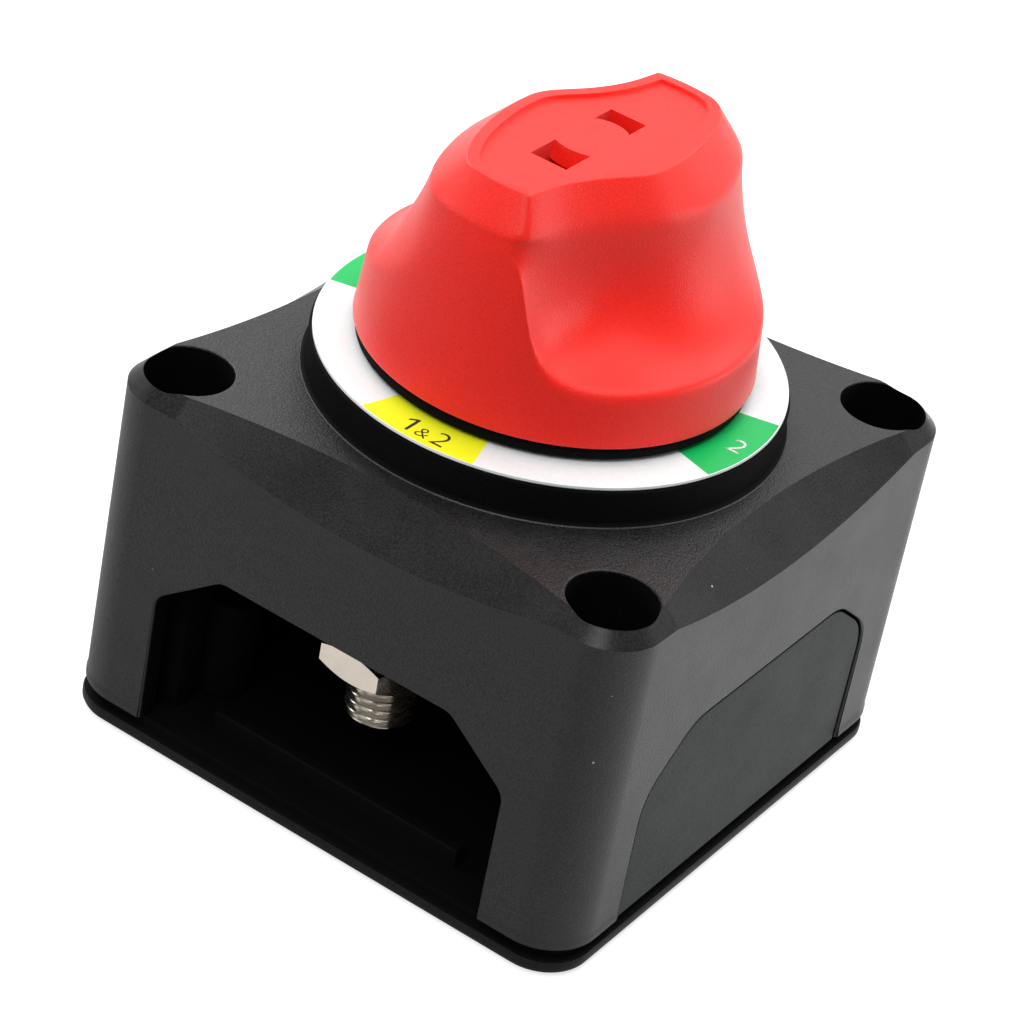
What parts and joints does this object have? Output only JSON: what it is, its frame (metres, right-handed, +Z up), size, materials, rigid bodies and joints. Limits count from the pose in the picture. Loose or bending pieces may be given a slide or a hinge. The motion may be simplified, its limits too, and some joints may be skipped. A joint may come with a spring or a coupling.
{
  "type": "battery switch",
  "caption": "Square surface-mounted rotary battery selector switch: dark case with cable windows, printed dial and red grip knob that turns a sprung contact bridge.",
  "frame": {"origin": "under the middle of the rear cover, on the knob's axis", "axes": "+Z up the knob's axis, away from the mounting surface; the open cable window faces -Y and the knob lies along Y at OFF"},
  "size_m": [0.07, 0.07, 0.078],
  "materials": {
    "case_plastic": "charcoal moulded plastic with a fine texture",
    "panel_plastic": "dark grey moulded plastic, a little smoother than the case",
    "knob_plastic": "red satin plastic with a fine texture",
    "rotor_plastic": "black moulded plastic",
    "carrier_plastic": "black filled plastic",
    "dial_print": "white printed film with one yellow and two green sectors and plain numbers",
    "seal_rubber": "black rubber",
    "copper": "bare copper, satin",
    "tinned_metal": "tin plate, bright",
    "steel": "plain steel"
  },
  "bodies": {
    "case": {"housing": "case_plastic", "rear_cover": "case_plastic", "panel_left": "panel_plastic", "panel_right": "panel_plastic", "panel_back": "panel_plastic", "contact_carrier": "carrier_plastic", "dial_label": "dial_print", "contact_1": "copper", "contact_2": "copper", "contact_common": "copper", "stud_1": "tinned_metal", "stud_2": "tinned_metal", "stud_common": "tinned_metal", "washer_1": "tinned_metal", "washer_2": "tinned_metal", "washer_common": "tinned_metal", "nut_1": "tinned_metal", "nut_2": "tinned_metal", "nut_common": "tinned_metal", "carrier_screw_1": "steel", "carrier_screw_2": "steel", "carrier_screw_3": "steel", "carrier_screw_4": "steel", "cover_screw_1": "steel", "cover_screw_2": "steel", "cover_screw_3": "steel", "cover_screw_4": "steel", "detent_spring_front": "steel", "detent_spring_back": "steel"},
    "turning_knob": {"knob": "knob_plastic", "knob_base_ring": "rotor_plastic", "rotor": "rotor_plastic", "shaft_o_ring": "seal_rubber", "contact_spring": "steel"},
    "bridge": {"contact_bridge": "copper"},
    "plunger_front": {"detent_plunger_front": "steel"},
    "plunger_back": {"detent_plunger_back": "steel"}
  },
  "joints": [
    {"name": "knob_turn", "type": "hinge", "parent": "case", "child": "turning_knob", "pos_m": [0, 0, 0.0499], "axis": [0, 0, 1], "continuous": true},
    {"name": "contact_lift", "type": "slide", "parent": "turning_knob", "child": "bridge", "axis": [0, 0, 1], "range_m": [0, 0.0008], "stiffness_N_per_m": 2500, "springref_m": -0.002, "deforming": ["contact_spring"]},
    {"name": "detent_front", "type": "slide", "parent": "case", "child": "plunger_front", "axis": [0, 1, 0], "range_m": [0, 0.0005], "stiffness_N_per_m": 900, "springref_m": 0.002},
    {"name": "detent_back", "type": "slide", "parent": "case", "child": "plunger_back", "axis": [0, -1, 0], "range_m": [0, 0.0005], "stiffness_N_per_m": 900, "springref_m": 0.002}
  ]
}
